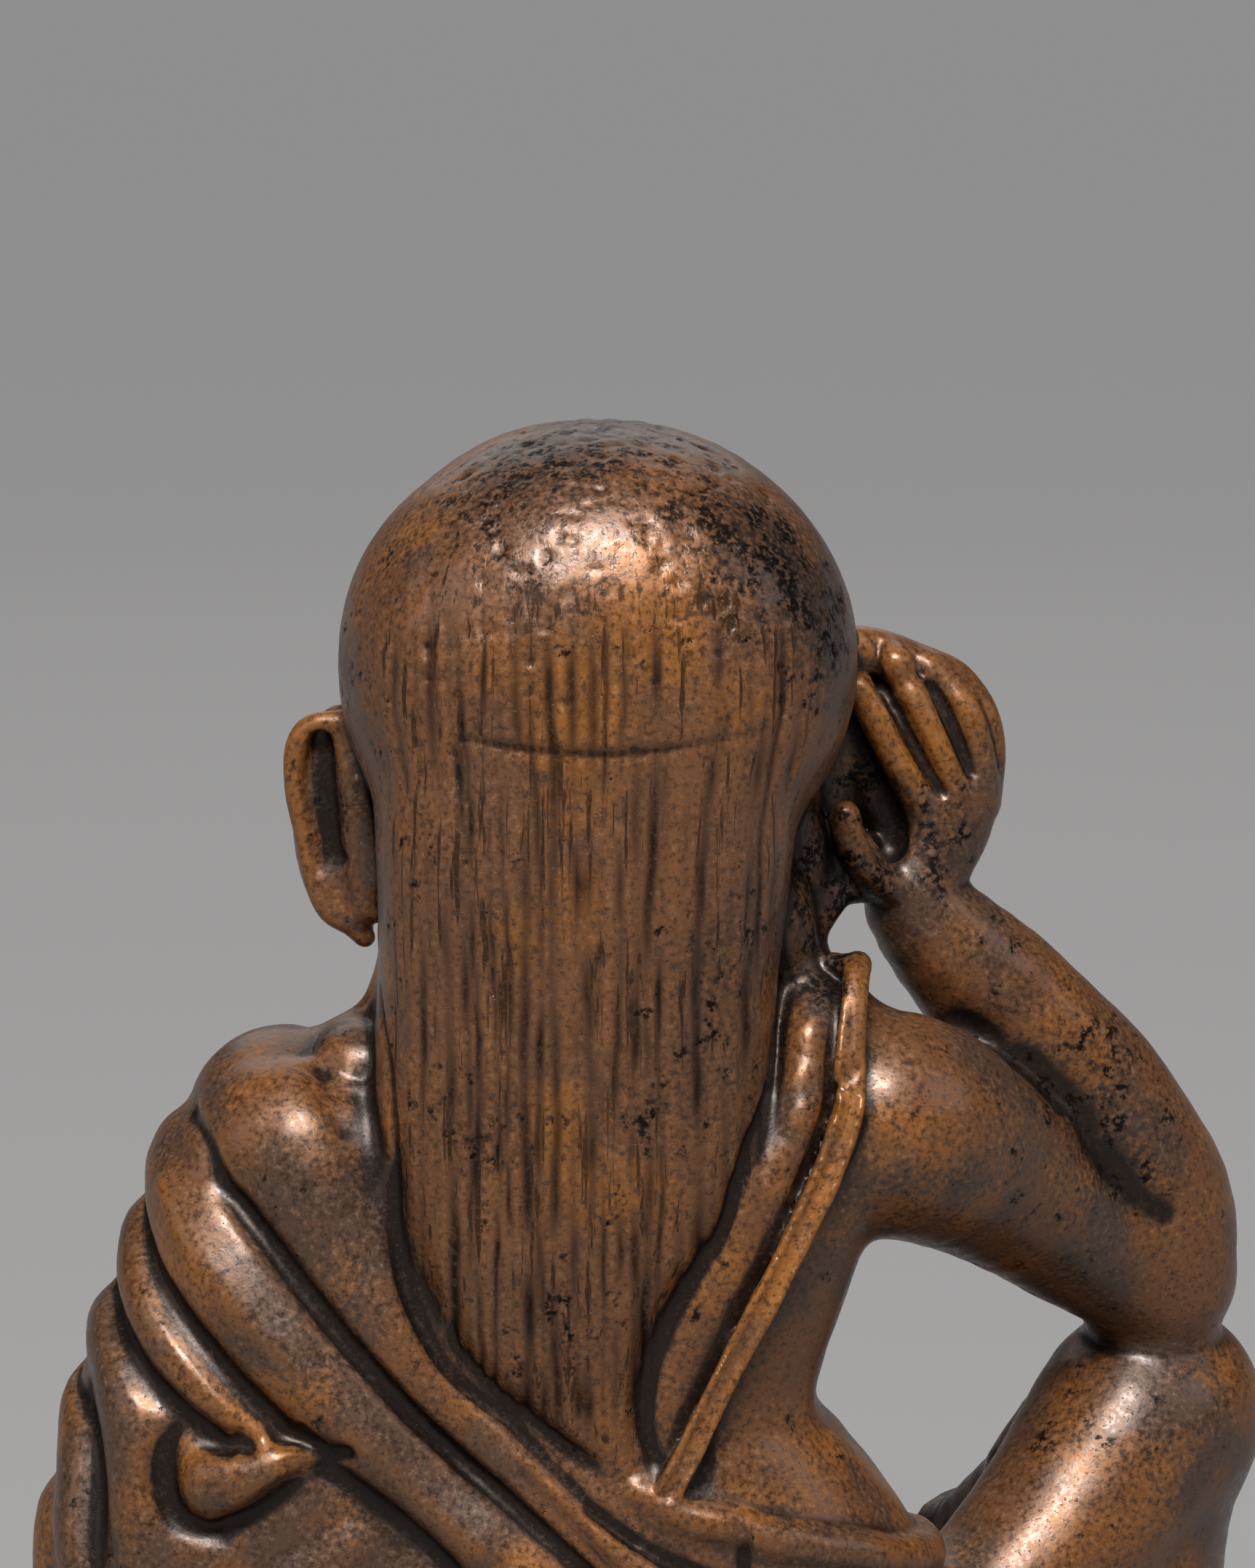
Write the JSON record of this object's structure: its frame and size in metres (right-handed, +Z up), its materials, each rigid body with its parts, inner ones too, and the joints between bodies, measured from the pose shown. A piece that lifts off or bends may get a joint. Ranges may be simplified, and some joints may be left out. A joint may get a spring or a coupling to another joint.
{
  "type": "cast copper statue of a seated yogi",
  "caption": "Small cast copper figure of a seated, robed yogi with long hair and a hand raised to the ear, on a low lotus base.",
  "frame": {"origin": "middle of the base's flat underside, at the bottom of the bounding box", "axes": "+Z up, the figure faces -Y, so its back and long hair are on the +Y side; its raised right hand is on the -X side"},
  "size_m": [0.1078, 0.0794, 0.1125],
  "materials": {
    "figure_copper": "reddish brown patinated copper, satin, black in the hollows and rubbed orange on the high places",
    "base_copper": "reddish brown patinated copper, satin, dark between the petals"
  },
  "bodies": {
    "root": {"figure": "figure_copper", "lotus_base": "base_copper"}
  },
  "joints": []
}
